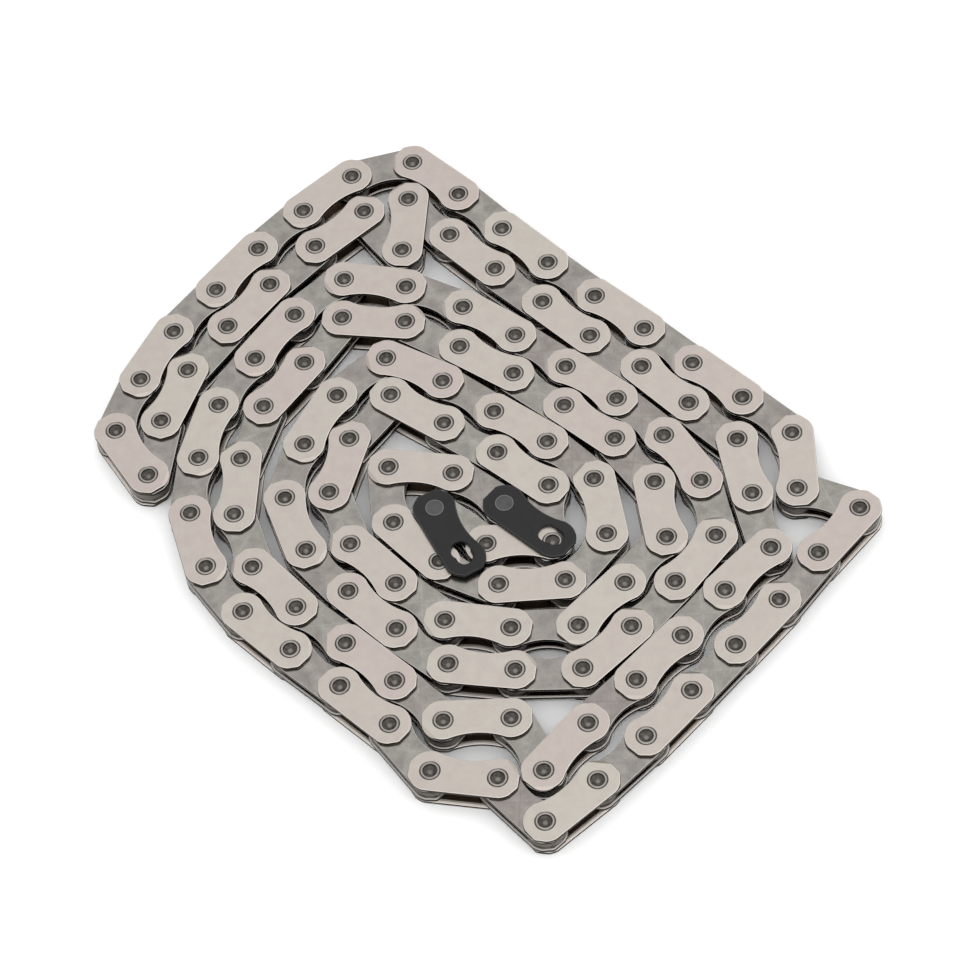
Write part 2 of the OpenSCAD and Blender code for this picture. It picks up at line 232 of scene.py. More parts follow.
class ChainColours(bpy.types.PropertyGroup):
    """Colours of the pieces"""
    nickel: colour("Nickel", "Warm nickel plating of the outer plates", 0.563, 0.512, 0.465)
    # Partly a polished rim, partly a painted highlight; it also paints the lit strip on the outer plates'
    # inside faces.
    nickel_rim_and_highlight: colour("Nickel rim", "Polished rim of the outer plates", 0.70, 0.645, 0.595)
    # Partly the dark rough steel of the cut walls, partly painted shade of the gaps and of the contact with
    # the next plate; the collars and countersinks take it too.
    punched_and_shaded: colour("Punched edge", "Cut edge of the plates", 0.03, 0.025, 0.019)
    # Partly the dark of oil, partly painted shade of the gaps between the plates.
    oiled_and_shaded: colour("Oiled inside", "Inner faces of the plates, darkened by oil", 0.18, 0.135, 0.10)
    steel: colour("Tumbled steel", "Grey steel of the inner plates", 0.345, 0.322, 0.298)
    # It also paints the lit strip, which is painted light, on the inner plates' inside faces.
    steel_rim_and_lit_strip: colour("Steel rim", "Rim of the inner plates", 0.45, 0.425, 0.40)
    pin: colour("Pin", "Riveted ring of the pins", 0.43, 0.40, 0.37)
    # Painted shade: the colour that the pins' recesses, punch rings and edges take.
    recess: colour("Recess", "Shaded recess of the pins", 0.05, 0.045, 0.04)
    # Darker than bare steel: satin steel with painted shade of the gaps that the rollers sit in.
    roller: colour("Roller", "Satin steel of the rollers", 0.14, 0.127, 0.113)
    coating: colour("Coating", "Dark coating of the quick link's plates", 0.007, 0.007, 0.0075)
    coating_rim: colour("Coating rim", "Rubbed rim of the quick link's plates", 0.03, 0.03, 0.031)
    quick_pin: colour("Quick link pin", "Dark grey heads of the quick link's pins", 0.048, 0.048, 0.05)
    quick_ring: colour("Quick link pin ring", "Rubbed ring round those heads", 0.1, 0.1, 0.102)


class StudioSettings(bpy.types.PropertyGroup):
    """The photograph's view and light"""
    distance: length("Camera distance", "From the camera to the coil's middle", 748.98)
    azimuth: angle("Camera heading", "Heading of the line of sight from +X", 96.61)
    elevation: angle("Camera elevation", "Height of the camera above the floor, as an angle", 57.46)
    roll: angle("Camera roll", "Clockwise turn of the picture", 7.83)
    lens: FloatProperty(name="Lens", description="Focal length in millimetres", default=145.46)
    sensor: FloatProperty(name="Sensor", description="Sensor width in millimetres", default=36.0)
    ambient: FloatProperty(name="Ambient", description="Strength of the white surround", default=1.5)
    key: FloatProperty(name="Key light", description="Power of the softbox in watts", default=1.3)
    seed: IntProperty(name="Seed", description="Seed of the small differences between plates", default=7)


def solids_of(node):
    """The corner points of each separate solid of a CAD node."""
    bm = bmesh.new()
    bm.from_mesh(frame["nodes"][node].data)
    bmesh.ops.remove_doubles(bm, verts=bm.verts, dist=WELD)
    found = []
    for start in bm.verts:
        if start.tag:
            continue
        start.tag = True
        waiting = [start]
        points = []
        while waiting:
            vert = waiting.pop()
            points.append(vert.co.copy())
            for edge in vert.link_edges:
                other = edge.other_vert(vert)
                if not other.tag:
                    other.tag = True
                    waiting.append(other)
        found.append(points)
    bm.free()
    return found


def middle_of(points):
    """Centre of the points' box, seen from above."""
    xs = [p.x for p in points]
    ys = [p.y for p in points]
    return Vector(((min(xs) + max(xs)) / 2, (min(ys) + max(ys)) / 2, 0.0))


def pin_places():
    """Where the pins stand: the middle of every roller."""
    return [middle_of(solid) for node in SLOTS if SLOTS[node] == "roller" for solid in solids_of(node)]


def plate_spot(points, places, sizes):
    """Place and heading of a plate: its waist lies to the left of the way from pin to pin."""
    reach = sizes.pin_r + 2 * sizes.rim
    bores = []
    for place in places:
        wall = [p for p in points if (p.xy - place.xy).length < reach]
        if len(wall) > BORE_POINTS:
            bores.append(place)
    first, second = bores
    along = (second - first).normalized()
    left = Vector((-along.y, along.x, 0.0))
    middle = (first + second) / 2
    waist = [
        (p - middle).dot(left) for p in points
        if abs((p - middle).dot(along)) < sizes.pitch * WAIST_SHARE
    ]
    if sum(waist) < 0:
        first, along = second, -along
    return first, math.atan2(along.y, along.x)


def plate_spots(node, places, sizes, inner):
    """The spots of a CAD node's plates, each plate with its inside towards the rollers."""
    height = STACK_H - sizes.outer_t
    if inner:
        height -= sizes.side_gap + sizes.inner_t
    spots = []
    for points in solids_of(node):
        place, heading = plate_spot(points, places, sizes)
        upper = min(p.z for p in points) > STACK_H / 2
        place = Vector((place.x, place.y, height if upper else STACK_H - height))
        spots.append((place, heading, not upper))
    return spots


def swing(bm, vert, centre, turn, steps):
    """Swings a corner about a centre and returns the end of the arc."""
    made = bmesh.ops.spin(
        bm, geom=[vert], cent=centre, axis=(0, 0, 1), dvec=(0, 0, 0),
        angle=turn, steps=steps, use_merge=False, use_duplicate=False,
    )
    return [part for part in made["geom_last"] if isinstance(part, bmesh.types.BMVert)][0]


def draw_to(bm, vert, x, y):
    """Draws a straight edge from a corner and returns its end."""
    made = bmesh.ops.extrude_vert_indiv(bm, verts=[vert])
    end = made["verts"][0]
    end.co = (x, y, 0)
    return end


def turned(centre, point):
    """Direction of a point from a centre, as an angle."""
    return math.atan2(point[1] - centre[1], point[0] - centre[0])


def half_outline(bm, sizes, waist, end):
    """The left half of a plate's outline, with its pin at the origin and its waist towards +Y."""
    half = sizes.pitch / 2
    meet_r = sizes.lobe_r - sizes.waist_meet
    waist_r = (half ** 2 + waist ** 2 - meet_r ** 2) / (2 * (meet_r - waist))
    centre = Vector((half, waist + waist_r))
    reach = centre.length
    along = (reach ** 2 + sizes.lobe_r ** 2 - waist_r ** 2) / (2 * reach)
    aside = math.sqrt(sizes.lobe_r ** 2 - along ** 2)
    towards = centre.normalized()
    join = along * towards + aside * Vector((-towards.y, towards.x))
    flat_end = math.sqrt(sizes.corner_r ** 2 - sizes.flat_h ** 2)
    corner_end = math.sqrt(sizes.corner_r ** 2 - end ** 2)
    cut_reach = math.acos(sizes.corner_d / sizes.corner_r)
    flat_turn = math.atan2(-sizes.flat_h, -flat_end)
    end_turn = math.atan2(-corner_end, -end)
    cut_turn = sizes.corner_turn - math.pi
    rise = math.sqrt(sizes.lobe_r ** 2 - end ** 2)
    vert = bm.verts.new((half, -sizes.flat_h, 0))
    vert = draw_to(bm, vert, -flat_end, -sizes.flat_h)
    vert = swing(bm, vert, (0, 0, 0), cut_turn + cut_reach - flat_turn, CORNER_STEPS)
    cut_end = cut_turn - cut_reach
    vert = draw_to(bm, vert, sizes.corner_r * math.cos(cut_end), sizes.corner_r * math.sin(cut_end))
    if end_turn < cut_end:
        vert = swing(bm, vert, (0, 0, 0), end_turn - cut_end, CORNER_STEPS)
    vert = draw_to(bm, vert, -end, rise)
    lobe = turned((0, 0), join) - turned((0, 0), (-end, rise))
    vert = swing(bm, vert, (0, 0, 0), lobe, LOBE_STEPS)
    sweep = turned(centre, (half, waist)) - turned(centre, join)
    swing(bm, vert, (centre.x, centre.y, 0), sweep, WAIST_STEPS)


def bore(bm, x, radius):
    """A round hole's edge on the pins' line."""
    bmesh.ops.create_circle(
        bm, cap_ends=False, radius=radius, segments=BORE_SEGMENTS,
        matrix=Matrix.Translation((x, 0, 0)),
    )


def slot_outline(bm, x, back, entry_r, seat_r):
    """A keyhole's edge: a round entry that runs straight into a seat."""
    entry = x - back
    mouth = math.acos(min(1.0, math.sqrt(entry_r ** 2 - seat_r ** 2) / entry_r))
    first = bm.verts.new((x, -seat_r, 0))
    vert = swing(bm, first, (x, 0, 0), math.pi, BORE_SEGMENTS // 2)
    vert = draw_to(bm, vert, entry + entry_r * math.cos(mouth), seat_r)
    vert = swing(bm, vert, (entry, 0, 0), 2 * (math.pi - mouth), BORE_SEGMENTS // 2)
    bm.edges.new((vert, first))


def fill_face(bm):
    """Fills the outlines, leaving their holes open, and turns the face upwards."""
    bmesh.ops.triangle_fill(bm, use_beauty=True, use_dissolve=False, edges=bm.edges)
    bm.normal_update()
    down = [face for face in bm.faces if face.normal.z < 0]
    bmesh.ops.reverse_faces(bm, faces=down)
    bm.normal_update()


def whole_outline(bm, sizes, waist, end):
    """A plate's closed outline at z = 0."""
    half_outline(bm, sizes, waist, end)
    aside = Matrix.Translation((-sizes.pitch / 2, 0, 0))
    bmesh.ops.transform(bm, matrix=aside, verts=bm.verts)
    bmesh.ops.mirror(bm, geom=bm.verts[:] + bm.edges[:], axis="X", merge_dist=WELD)
    bmesh.ops.transform(bm, matrix=aside.inverted(), verts=bm.verts)
    bmesh.ops.remove_doubles(bm, verts=bm.verts, dist=WELD)


def near_hole(face, holes):
    """Whether a face of the rim belongs to a hole and not to the plate's outside."""
    middle = face.calc_center_median()
    return any(math.hypot(middle.x - x, middle.y) < reach for x, reach in holes)


def round_rim(bm, sizes, holes, strip):
    """Rounds the rims of a flat face, marks the strip inside them for the painted lit strip, and gives back
    the flat face left.
    """
    rim = bm.faces.layers.float["rim"]
    wall = bm.faces.layers.float["wall"]
    painted_lit = bm.faces.layers.float["painted_lit"]
    cap = set(bm.faces)
    for step in range(RIM_STEPS):
        low = math.radians(90 * step / RIM_STEPS)
        high = math.radians(90 * (step + 1) / RIM_STEPS)
        made = bmesh.ops.inset_region(
            bm, faces=list(cap), use_boundary=True, use_even_offset=True,
            thickness=sizes.rim * (math.cos(low) - math.cos(high)),
            depth=sizes.rim * (math.sin(high) - math.sin(low)),
        )
        for face in made["faces"]:
            face.smooth = True
            # The outer part of the rounding takes the walls' colour with its painted shade, the upper part
            # the rim's.
            face[rim if step and not near_hole(face, holes) else wall] = 1.0
    flat = set(cap)
    for share in LIT_STRIP_STEPS if strip else ():
        made = bmesh.ops.inset_region(
            bm, faces=list(cap), use_boundary=True, use_even_offset=True,
            thickness=strip / len(LIT_STRIP_STEPS),
        )
        for face in made["faces"]:
            face[painted_lit] = share
            flat.add(face)
    for face in flat:
        for edge in face.edges:
            edge.smooth = all(other in flat for other in edge.link_faces)
    return cap


def open_bores(bm, sizes, cap, top, bore_r, sink):
    """Puts two countersunk bores, down to z = 0, in place of a plain flat face."""
    wall = bm.faces.layers.float["wall"]
    border = [edge for edge in bm.edges if sum(face in cap for face in edge.link_faces) == 1]
    bmesh.ops.delete(bm, geom=list(cap), context="FACES_KEEP_BOUNDARY")
    for x in (0, sizes.pitch):
        profile = [(bore_r + sink, top), (bore_r, top - sink), (bore_r, 0)]
        for face in turn_profile(bm, profile, BORE_SEGMENTS, x):
            # The countersink takes part of the walls' painted shade, and the bore's wall below it takes all
            # of it.
            face[wall] = 1.0 if face.calc_center_median().z < top - sink else SINK_SHADE
            border += [edge for edge in face.edges if min(v.co.z for v in edge.verts) > top - WELD]
    made = bmesh.ops.triangle_fill(bm, use_beauty=True, use_dissolve=False, edges=border)
    for face in made["geom"]:
        if isinstance(face, bmesh.types.BMFace) and face.normal.z < 0:
            face.normal_flip()


def thicken(bm, sizes, thickness, holes=(), bore_r=0.0, sink=0.0, strip=0.0):
    """Makes a flat face a plate with rounded rims, its underside at z = 0."""
    for name in ("rim", "wall", "painted_lit"):
        bm.faces.layers.float.new(name)
    wall = bm.faces.layers.float["wall"]
    bmesh.ops.translate(bm, verts=bm.verts, vec=(0, 0, thickness / 2 - sizes.rim))
    cap = round_rim(bm, sizes, holes, strip)
    if bore_r:
        open_bores(bm, sizes, cap, thickness / 2, bore_r, sink)
    open_edges = [edge for edge in bm.edges if edge.is_boundary and edge.verts[0].co.z > WELD]
    made = bmesh.ops.extrude_edge_only(bm, edges=open_edges)
    for part in made["geom"]:
        if isinstance(part, bmesh.types.BMVert):
            part.co.z = 0.0
        if isinstance(part, bmesh.types.BMFace):
            part[wall] = 1.0
            part.smooth = True
    bmesh.ops.mirror(bm, geom=bm.verts[:] + bm.edges[:] + bm.faces[:], axis="Z", merge_dist=WELD)
    bmesh.ops.remove_doubles(bm, verts=bm.verts, dist=WELD)
    bmesh.ops.recalc_face_normals(bm, faces=bm.faces)
    bmesh.ops.translate(bm, verts=bm.verts, vec=(0, 0, thickness / 2))


def link_plate(sizes, waist, thickness, bore_r, sink, strip):
    """A plate of a link with its two bores."""
    bm = bmesh.new()
    whole_outline(bm, sizes, waist, sizes.plate_end)
    fill_face(bm)
    thicken(bm, sizes, thickness, bore_r=bore_r, sink=sink, strip=strip)
    return bm


def cut_facet(bm, sizes, top):
    """Grinds the sloping facet on the lobe at the far pin."""
    rim = bm.faces.layers.float["rim"]
    wall = bm.faces.layers.float["wall"]
    out = Vector((math.cos(sizes.facet_turn), math.sin(sizes.facet_turn), 0))
    slope = sizes.facet_depth / sizes.facet_w
    made = bmesh.ops.bisect_plane(
        bm, geom=bm.verts[:] + bm.edges[:] + bm.faces[:], dist=WELD / 10, clear_outer=True,
        plane_co=Vector((sizes.pitch, 0, top)) + sizes.facet_d * out,
        plane_no=(out * slope + Vector((0, 0, 1))).normalized(),
    )
    edges = [part for part in made["geom_cut"] if isinstance(part, bmesh.types.BMEdge)]
    filled = bmesh.ops.contextual_create(bm, geom=edges)
    for face in filled["faces"]:
        face[rim] = 0.0
        face[wall] = 0.0
    for edge in edges:
        edge.smooth = False


def mark_inside(bm):
    """Marks the face of a plate that looks into the chain, and keeps the painted lit strip only there, in
    the rim's colour.
    """
    inside = bm.faces.layers.float.new("inside")
    painted_lit = bm.faces.layers.float["painted_lit"]
    rim = bm.faces.layers.float["rim"]
    bm.normal_update()
    for face in bm.faces:
        if face.normal.z < LOOKS_DOWN:
            face[inside] = 1.0 - face[painted_lit]
            # Painted light: the strip along the inside face's edge takes the rim's colour in place of the
            # inside's.
            face[rim] = face[painted_lit]
        else:
            face[painted_lit] = 0.0


def turn_profile(bm, points, steps, x=0.0):
    """Turns a profile of radius and height about an upright axis into a closed ring or disc."""
    before = set(bm.verts)
    verts = [bm.verts.new((x + radius, 0, height)) for radius, height in points]
    edges = [bm.edges.new(pair) for pair in zip(verts, verts[1:])]
    bmesh.ops.spin(
        bm, geom=verts + edges, cent=(x, 0, 0), axis=(0, 0, 1), dvec=(0, 0, 0),
        angle=2 * math.pi, steps=steps, use_merge=True, use_duplicate=False,
    )
    made = [vert for vert in bm.verts if vert not in before]
    bmesh.ops.remove_doubles(bm, verts=made, dist=WELD)
    faces = [face for face in bm.faces if all(vert not in before for vert in face.verts)]
    bmesh.ops.recalc_face_normals(bm, faces=faces)
    return faces


def keep_mesh(bm, name):
    """Stores a shape as a mesh, smooth but for its sharp edges, with its place in it in millimetres."""
    spread = bm.loops.layers.uv.new("spread")
    for face in bm.faces:
        face.smooth = True
        for loop in face.loops:
            loop[spread].uv = loop.vert.co.xy / MM
    bm.normal_update()
    for edge in bm.edges:
        if edge.smooth and len(edge.link_faces) == 2 and edge.calc_face_angle() > SHARP:
            edge.smooth = False
    mesh = bpy.data.meshes.new(name)
    bm.to_mesh(mesh)
    bm.free()
    return mesh


def outer_plate_shape(sizes):
    """An outer plate with its outside upwards."""
    bore_r = sizes.pin_r + sizes.rivet_gap
    bm = link_plate(sizes, sizes.outer_waist, sizes.outer_t, bore_r, sizes.rivet_sink, sizes.outer_lit_strip)
    cut_facet(bm, sizes, sizes.outer_t)
    mark_inside(bm)
    return keep_mesh(bm, "outer_plate_shape")


def inner_plate_shape(sizes):
    """An inner plate with its outside upwards and the rollers' collars below it."""
    bore_r = sizes.pin_r + sizes.pin_gap
    bm = link_plate(sizes, sizes.inner_waist, sizes.inner_t, bore_r, sizes.rim, sizes.inner_lit_strip)
    wall = bm.faces.layers.float["wall"]
    top = sizes.inner_t / 2
    mark_inside(bm)
    for x in (0, sizes.pitch):
        profile = [
            (bore_r, top), (bore_r, -sizes.collar_h), (sizes.collar_r, -sizes.collar_h),
            (sizes.collar_r, top), (bore_r, top),
        ]
        # The collars take the walls' colour with its painted shade.
        for face in turn_profile(bm, profile, BORE_SEGMENTS, x):
            face[wall] = 1.0
    return keep_mesh(bm, "inner_plate_shape")


def pin_profile(sizes):
    """A pin's upper end from the middle outwards: radius, depth, and how much painted shade lies there."""
    rim = sizes.pin_rim
    head_r = sizes.pin_r + sizes.rivet_sink
    # Painted shade fills the recess, with less on the middle of its floor, where the lighter floor is a
    # painted highlight.
    recess = [
        (0, sizes.recess_depth, 0.45),
        (sizes.recess_floor_r / 2, sizes.recess_depth, 0.52),
        (sizes.recess_floor_r, sizes.recess_depth, 0.88),
        (sizes.recess_r - 2 * rim, sizes.recess_wall, 0.9),
        (sizes.recess_r - rim, 3 * rim, 0.75),
    ]
    # The bright ring, with a little painted shade at the recess's mouth and in the punch ring's groove.
    ring = [
        (sizes.recess_r + rim, 0, 0.25),
        (sizes.recess_r + 3 * rim, 0, 0.05),
        (sizes.punch_r - sizes.punch_depth, 0, 0.05),
        (sizes.punch_r, sizes.punch_depth, 0.5),
        (sizes.punch_r + sizes.punch_depth, 0, 0.3),
    ]
    # Painted shade round the pin's edge.
    edge = [
        (head_r - 4 * rim, rim / 2, 1.0),
        (head_r - 2 * rim, 2 * rim, 1.0),
        (sizes.pin_r, sizes.rivet_sink, 1.0),
    ]
    return recess + ring + edge


def pin_shape(sizes):
    """A riveted pin, spread at its ends, with a recess in each."""
    bm = bmesh.new()
    shade = bm.verts.layers.float.new("shade")
    profile = pin_profile(sizes)
    upper = [(radius, STACK_H - depth) for radius, depth, dark in profile]
    lower = [(radius, depth) for radius, depth, dark in reversed(profile)]
    turn_profile(bm, upper + lower, PIN_SEGMENTS)
    # Each corner takes the painted shade of the nearest point of the profile.
    for vert in bm.verts:
        radius = vert.co.xy.length
        depth = min(vert.co.z, STACK_H - vert.co.z)
        nearest = min(profile, key=lambda point: abs(point[0] - radius) + abs(point[1] - depth))
        vert[shade] = nearest[2]
    return keep_mesh(bm, "pin_shape")


def roller_shape(sizes):
    """A roller, its underside at z = 0."""
    bm = bmesh.new()
    radius = (ROLLER_BOX[1].x - ROLLER_BOX[0].x) / 2
    height = ROLLER_BOX[1].z - ROLLER_BOX[0].z
    bore_r = sizes.collar_r + sizes.roller_gap
    rim = sizes.roller_rim
    profile = [
        (bore_r, 0), (radius - rim, 0), (radius - rim / 3, rim / 3), (radius, rim),
        (radius, height - rim), (radius - rim / 3, height - rim / 3), (radius - rim, height),
        (bore_r, height), (bore_r, 0),
    ]
    turn_profile(bm, profile, ROLLER_SEGMENTS)
    return keep_mesh(bm, "roller_shape")


def cut_slot(mesh, sizes, quick, top):
    """Sinks the slot round the seat into a quick link's plate, from its upper face."""
    entry_r = sizes.pin_r + quick.entry_gap
    bm = bmesh.new()
    bm.faces.layers.float.new("rim")
    bm.faces.layers.float.new("wall")
    slot_outline(bm, sizes.pitch, quick.entry_back, entry_r, entry_r)
    fill_face(bm)
    bmesh.ops.translate(bm, verts=bm.verts, vec=(0, 0, top + quick.seat_sink))
    made = bmesh.ops.extrude_face_region(bm, geom=bm.faces[:], use_keep_orig=True)
    moved = [part for part in made["geom"] if isinstance(part, bmesh.types.BMVert)]
    bmesh.ops.translate(bm, verts=moved, vec=(0, 0, -2 * quick.seat_sink))
    bmesh.ops.recalc_face_normals(bm, faces=bm.faces)
    cutter_mesh = bpy.data.meshes.new("slot_cutter")
    bm.to_mesh(cutter_mesh)
    bm.free()
    plate = bpy.data.objects.new("slot_plate", mesh)
    cutter = bpy.data.objects.new("slot_cutter", cutter_mesh)
    bpy.context.scene.collection.objects.link(plate)
    bpy.context.scene.collection.objects.link(cutter)
    modifier = plate.modifiers.new("slot", "BOOLEAN")
    modifier.object = cutter
    modifier.operation = "DIFFERENCE"
    modifier.solver = "EXACT"
    bpy.context.view_layer.update()
    evaluated = plate.evaluated_get(bpy.context.evaluated_depsgraph_get())
    result = bpy.data.meshes.new_from_object(evaluated)
    bpy.data.objects.remove(plate)
    bpy.data.objects.remove(cutter)
    return result


def quick_plate_shape(sizes, quick):
    """A quick link's plate, with its pin hole at the origin and its keyhole at the other end."""
    thickness = QUICK_BOX[1].z - QUICK_BOX[0].z
    entry_r = sizes.pin_r + quick.entry_gap
    seat_r = quick.groove_r + quick.seat_gap
    bm = bmesh.new()
    whole_outline(bm, sizes, sizes.outer_waist, quick.plate_end)
    bore(bm, 0, sizes.pin_r + sizes.rivet_gap)
    slot_outline(bm, sizes.pitch, quick.entry_back, entry_r, seat_r)
    fill_face(bm)
    reach = HOLE_REACH * sizes.rim
    holes = [
        (0, sizes.pin_r + reach), (sizes.pitch, seat_r + reach),
        (sizes.pitch - quick.entry_back, entry_r + reach),
    ]
    thicken(bm, sizes, thickness, holes=holes)
    cut_facet(bm, sizes, thickness)
    return cut_slot(keep_mesh(bm, "quick_plate_shape"), sizes, quick, thickness)


def quick_pin_shape(sizes, quick):
    """A quick link's pin: flush in its plate at the top, grooved near its tip."""
    thickness = QUICK_BOX[1].z - QUICK_BOX[0].z
    tip = -quick.pin_l
    groove = tip + quick.head_t
    groove_top = groove + thickness + quick.seat_gap
    rim = sizes.pin_rim
    profile = [
        (0, tip), (sizes.pin_r - rim, tip), (sizes.pin_r, tip + rim), (sizes.pin_r, groove),
        (quick.groove_r, groove), (quick.groove_r, groove_top), (sizes.pin_r, groove_top),
        (sizes.pin_r, thickness - rim), (sizes.pin_r - rim, thickness),
        (sizes.pin_r - QUICK_RING * rim, thickness), (0, thickness),
    ]
    bm = bmesh.new()
    ring = bm.faces.layers.float.new("rim")
    for face in turn_profile(bm, profile, PIN_SEGMENTS):
        middle = face.calc_center_median()
        if middle.z > thickness - rim and middle.xy.length > sizes.pin_r - (QUICK_RING - 1) * rim:
            face[ring] = 1.0
    return keep_mesh(bm, "quick_pin_shape")


def stamp(node, shape, spots, finish):
    """Sets a copy of a shape on each spot and lets the piece stand for its CAD node."""
    differences = random.Random(f"{node} {bpy.context.scene.studio.seed}")
    bm = bmesh.new()
    tone = bm.faces.layers.float.new("tone")
    for place, heading, turned_over in spots:
        old_verts = len(bm.verts)
        old_faces = len(bm.faces)
        bm.from_mesh(shape)
        verts = bm.verts[old_verts:]
        faces = bm.faces[old_faces:]
        matrix = Matrix.Translation(place) @ Matrix.Rotation(heading, 4, "Z")
        if turned_over:
            matrix = matrix @ Matrix.Diagonal((1, 1, -1, 1))
            bmesh.ops.reverse_faces(bm, faces=faces)
        bmesh.ops.transform(bm, matrix=matrix, verts=verts)
        shade = differences.uniform(0, 1)
        for face in faces:
            face[tone] = shade
    mesh = bpy.data.meshes.new(f"{node}_finished")
    bm.to_mesh(mesh)
    bm.free()
    mesh.materials.append(finish)
    piece = bpy.data.objects.new(f"{node}_finished", mesh)
    bpy.context.scene.collection.objects.link(piece)
    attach(piece, BODIES[node])
    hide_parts(node)
    return piece


def nodes_of(slot):
    """The CAD nodes that fill a material slot."""
    return [node for node in SLOTS if SLOTS[node] == slot]


def lay_plates(slot, shape, finish, inner):
    """Lays the plates of every node of a material slot."""
    places = pin_places()
    for node in nodes_of(slot):
        stamp(node, shape, plate_spots(node, places, bpy.context.scene.chain_sizes, inner), finish)


class Tree:
    """A tree of shader nodes."""

    def __init__(self, tree):
        self.tree = tree

    def add(self, kind, **settings):
        """Adds a node with its settings."""
        node = self.tree.nodes.new(kind)
        for name, value in settings.items():
            setattr(node, name, value)
        return node

    def feed(self, value, socket):
        """Gives a socket its value: an output to be joined to it, or a constant."""
        if isinstance(value, bpy.types.NodeSocket):
            self.tree.links.new(value, socket)
        else:
            socket.default_value = value

    def reckon(self, operation, *values):
        """Reckons with values, each a number or an output."""
        node = self.add("ShaderNodeMath", operation=operation)
        for socket, value in zip(node.inputs, values):
            self.feed(value, socket)
        return node.outputs[0]

    def span(self, value, low, high, from_low=0.0, from_high=1.0):
        """Carries a value from one range to another."""
        node = self.add("ShaderNodeMapRange")
        node.inputs["From Min"].default_value = from_low
        node.inputs["From Max"].default_value = from_high
        node.inputs["To Min"].default_value = low
        node.inputs["To Max"].default_value = high
        self.feed(value, node.inputs["Value"])
        return node.outputs["Result"]


class Finish(Tree):
    """A material, wired from its surface back to the points that it reads."""

    def __init__(self, name):
        self.material = bpy.data.materials.new(name)
        self.material.use_nodes = True
        super().__init__(self.material.node_tree)
        self.surface = self.tree.nodes["Principled BSDF"]
        self.spread = self.add("ShaderNodeUVMap", uv_map="spread").outputs["UV"]
        apart = self.add("ShaderNodeVectorMath", operation="MULTIPLY_ADD")
        for value, socket in zip((self.attribute("tone"), TONE_STEP, self.spread), apart.inputs):
            self.feed(value, socket)
        self.points = apart.outputs["Vector"]

    def set(self, name, value):
        """Gives one of the surface's inputs its value."""
        self.feed(value, self.surface.inputs[name])

    def noise(self, scale, detail, roughness=0.5):
        """A noise over the shape, other on each piece."""
        node = self.add("ShaderNodeTexNoise")
        node.inputs["Scale"].default_value = scale
        node.inputs["Detail"].default_value = detail
        node.inputs["Roughness"].default_value = roughness
        self.feed(self.points, node.inputs["Vector"])
        return node.outputs["Fac"]

    def attribute(self, name):
        """A value that the shape keeps on its faces or corners."""
        return self.add("ShaderNodeAttribute", attribute_name=name).outputs["Fac"]

    def blend(self, factor, first, second, how="MIX"):
        """Mixes two colours, each a constant or an output."""
        node = self.add("ShaderNodeMix", data_type="RGBA", blend_type=how)
        self.feed(factor, node.inputs[0])
        for socket, value in ((node.inputs[6], first), (node.inputs[7], second)):
            self.feed(value if isinstance(value, bpy.types.NodeSocket) else (*value, 1.0), socket)
        return node.outputs[2]

    def patches(self, noise, reach, colour_in, levels):
        """A colour in darker and lighter patches."""
        dark, light = (tinted(colour_in, level) for level in levels)
        return self.blend(self.span(noise, 0.0, 1.0, *reach), dark, light)

    def scaled(self, value, colour_in):
        """Darkens or lightens a colour by a value."""
        node = self.add("ShaderNodeVectorMath", operation="SCALE")
        self.feed(colour_in, node.inputs[0])
        self.feed(value, node.inputs["Scale"])
        return node.outputs["Vector"]

    def relief(self, height, depth, strength):
        """Lets the surface look uneven, with its depth in millimetres."""
        node = self.add("ShaderNodeBump")
        node.inputs["Distance"].default_value = depth * MM
        node.inputs["Strength"].default_value = strength
        self.feed(height, node.inputs["Height"])
        self.set("Normal", node.outputs["Normal"])


def tinted(colour_in, level, warmth=0.0):
    """A colour made darker or lighter, and a little warmer or greener."""
    red, green, blue = colour_in
    return red * level * (1 + warmth), green * level * (1 - warmth), blue * level


def painted_facet_shade(finish, sizes, base):
    """Paints shade on the four stamped fields of an inner plate, as light would fall on them, and along the
    two faint diagonal creases where they meet, a painted highlight or painted shade by the plate's tone.
    """
    place = finish.add("ShaderNodeSeparateXYZ")
    finish.feed(finish.spread, place.inputs[0])
    along = finish.reckon("SUBTRACT", place.outputs["X"], sizes.pitch / MM / 2)
    along = finish.reckon("ABSOLUTE", along)
    aside = finish.reckon("ADD", place.outputs["Y"], CREASE_ASIDE)
    aside = finish.reckon("ABSOLUTE", aside)
    lead = finish.reckon("SUBTRACT", along, aside)
    fields = finish.span(lead, *FACET_SHADE_LEVELS, -CREASE_FIELD, CREASE_FIELD)
    line = finish.span(finish.reckon("ABSOLUTE", lead), 1.0, 0.0, 0.0, CREASE_WIDTH)
    tone = finish.span(finish.attribute("tone"), -CREASE_SHADE, CREASE_SHADE)
    level = finish.reckon("MULTIPLY_ADD", line, tone, fields)
    return finish.scaled(level, base)


